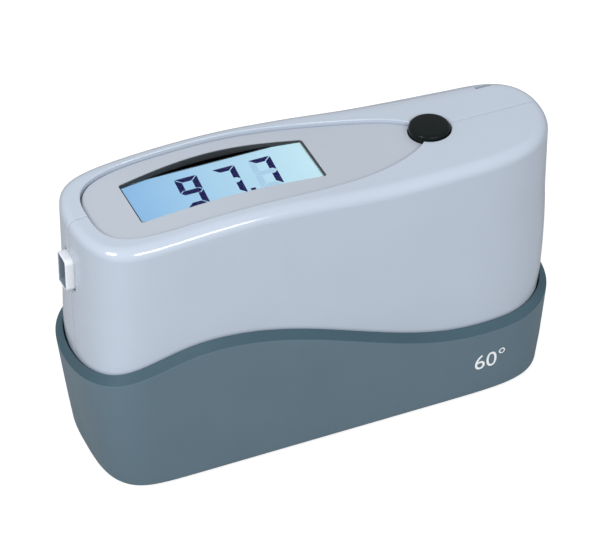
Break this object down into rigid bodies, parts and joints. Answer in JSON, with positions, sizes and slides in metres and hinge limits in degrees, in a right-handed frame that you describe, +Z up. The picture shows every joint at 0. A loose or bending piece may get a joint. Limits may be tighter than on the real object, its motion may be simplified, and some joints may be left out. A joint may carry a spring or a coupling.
{
  "type": "gloss meter",
  "caption": "Pocket gloss meter with a domed display panel and push button, standing in a wave-rimmed calibration holder over a black glass tile.",
  "frame": {"origin": "bottom centre of the calibration holder, in the plane that its rubber feet stand on", "axes": "+X along the meter from the display end towards the button end, -Y towards the front, +Z up"},
  "size_m": [0.1451, 0.0492, 0.085],
  "materials": {
    "body_plastic": "light blue-grey moulded plastic with a soft gloss",
    "panel_plastic": "grey satin plastic",
    "holder_plastic": "slate blue-grey satin plastic",
    "black_plastic": "black satin plastic",
    "button_plastic": "black satin plastic, slightly domed",
    "grey_plastic": "mid grey plastic",
    "socket_plastic": "pale grey plastic",
    "white_plastic": "white diffusing plastic",
    "cell_jacket": "plain printed-free cell jacket",
    "tile_glass": "polished black glass",
    "clear_glass": "clear",
    "lcd": "lit light blue display with dark navy digits",
    "circuit_board": "green solder mask",
    "rubber": "matt black rubber",
    "foam": "dark closed-cell foam",
    "steel": "plated steel"
  },
  "bodies": {
    "holder": {"calibration_base": "holder_plastic", "calibration_tile": "tile_glass", "tile_pad": "foam", "base_foot_1": "rubber", "base_foot_2": "rubber", "base_foot_3": "rubber", "base_foot_4": "rubber"},
    "meter": {"front_shell": "body_plastic", "rear_shell": "body_plastic", "base_plate": "black_plastic", "optical_block": "black_plastic", "collimating_lens": "clear_glass", "receiving_lens": "clear_glass", "lamp_holder": "grey_plastic", "light_detector": "grey_plastic", "display_panel": "panel_plastic", "window_bezel": "black_plastic", "display_window": "clear_glass", "lcd_glass": "lcd", "lcd_backlight": "white_plastic", "main_board": "circuit_board", "button_switch": "steel", "output_socket": "socket_plastic", "socket_contacts": "black_plastic", "battery_tray": "black_plastic", "contact_plate_left": "steel", "contact_plate_right": "steel", "battery_1": "cell_jacket", "battery_2": "cell_jacket", "battery_3": "cell_jacket", "battery_4": "cell_jacket", "shell_screw_1": "steel", "shell_screw_2": "steel", "shell_screw_3": "steel", "shell_screw_4": "steel", "plate_screw_1": "steel", "plate_screw_2": "steel", "plate_screw_3": "steel", "plate_screw_4": "steel"},
    "button": {"measure_button": "button_plastic", "switch_plunger": "black_plastic"},
    "cover": {"battery_cover": "body_plastic"}
  },
  "joints": [
    {"name": "meter_lift", "type": "slide", "parent": "holder", "child": "meter", "axis": [0, 0, 1], "range_m": [0, 0.045]},
    {"name": "button_press", "type": "slide", "parent": "meter", "child": "button", "axis": [0, 0, -1], "range_m": [0, 0.0006], "stiffness_N_per_m": 500},
    {"name": "cover_swing", "type": "hinge", "parent": "meter", "child": "cover", "pos_m": [0.031, 0.02173, 0.0456], "axis": [-1, 0, 0], "range_deg": [0, 60]}
  ]
}
